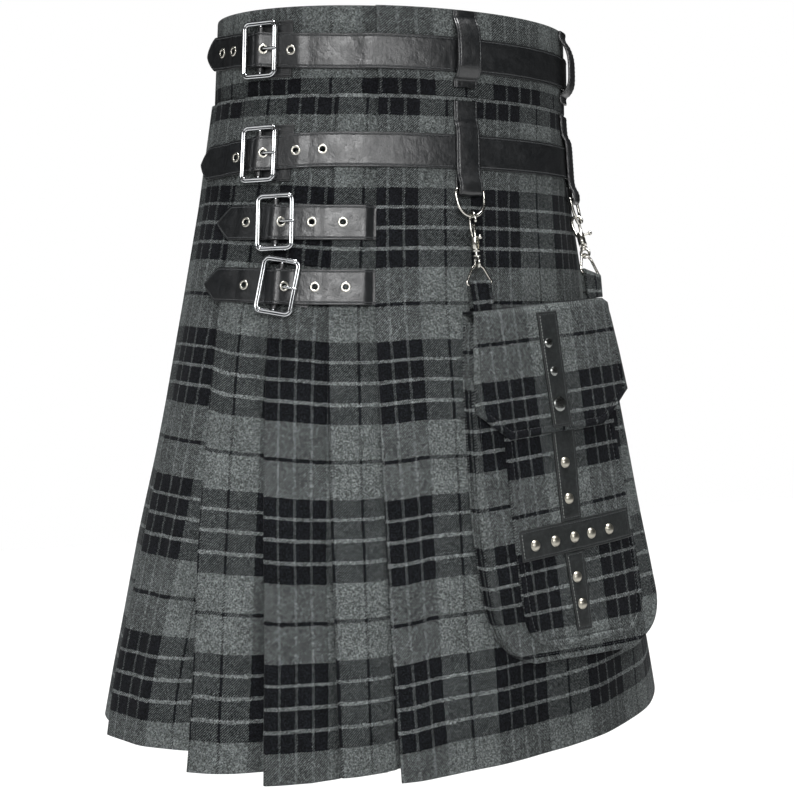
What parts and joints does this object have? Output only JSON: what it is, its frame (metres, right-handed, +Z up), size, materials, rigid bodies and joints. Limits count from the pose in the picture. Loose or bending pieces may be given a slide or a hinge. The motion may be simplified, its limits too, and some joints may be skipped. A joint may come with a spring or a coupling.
{
  "type": "utility kilt",
  "caption": "Knee-length kilt of grey and black tartan, pleated round the back, with buckled leather straps, belt loops and a flapped pocket hung on two snap hooks.",
  "frame": {"origin": "middle of the waist, at the height of the upper straps, where the wearer's waist holds the kilt", "axes": "+Z up along the wearer, -Y the wearer's front, +X the wearer's left"},
  "size_m": [0.5038, 0.3651, 0.591],
  "materials": {
    "tartan": "matt twill woven in grey, black and light grey",
    "leather": "smooth black, slightly glossy, with stitched edges",
    "chrome": "polished",
    "nickel": "nickel plated, smooth"
  },
  "bodies": {
    "kilt": {"belt_loop_1": "leather", "belt_loop_2": "leather", "belt_loop_3": "leather", "belt_loop_4": "leather", "belt_loop_5": "leather", "buckle_1": "chrome", "buckle_2": "chrome", "buckle_3": "chrome", "buckle_4": "chrome", "buckle_patch_1": "leather", "buckle_patch_2": "leather", "buckle_patch_3": "leather", "buckle_patch_4": "leather", "d_ring_1": "nickel", "d_ring_2": "nickel", "flap_strap": "leather", "hook_1": "nickel", "hook_2": "nickel", "over_apron": "tartan", "pleats_back": "tartan", "pleats_left": "tartan", "pleats_right": "tartan", "pocket_back": "tartan", "pocket_flap": "tartan", "pocket_front": "tartan", "pocket_gusset": "tartan", "pocket_patch": "tartan", "pocket_ring_1": "nickel", "pocket_ring_2": "nickel", "pocket_tab_1": "tartan", "pocket_tab_2": "tartan", "prong_1": "chrome", "prong_2": "chrome", "prong_3": "chrome", "prong_4": "chrome", "ring_loop_1": "leather", "ring_loop_2": "leather", "strap_1": "leather", "strap_2": "leather", "strap_3": "leather", "strap_4": "leather", "trim_bar": "leather", "trim_lower": "leather", "trim_upper": "leather", "under_apron": "tartan", "waistband": "tartan", "waistband_over": "tartan"},
    "trigger_1": {"bolt_1": "nickel"},
    "trigger_2": {"bolt_2": "nickel"}
  },
  "joints": [
    {"name": "trigger_1_slide", "type": "slide", "parent": "kilt", "child": "trigger_1", "axis": [0.05, -0.1404, -0.9888], "range_m": [0, 0.005], "stiffness_N_per_m": 150, "springref_m": -0.004},
    {"name": "trigger_2_slide", "type": "slide", "parent": "kilt", "child": "trigger_2", "axis": [-0.0983, -0.5845, -0.8054], "range_m": [0, 0.005], "stiffness_N_per_m": 150, "springref_m": -0.004}
  ]
}
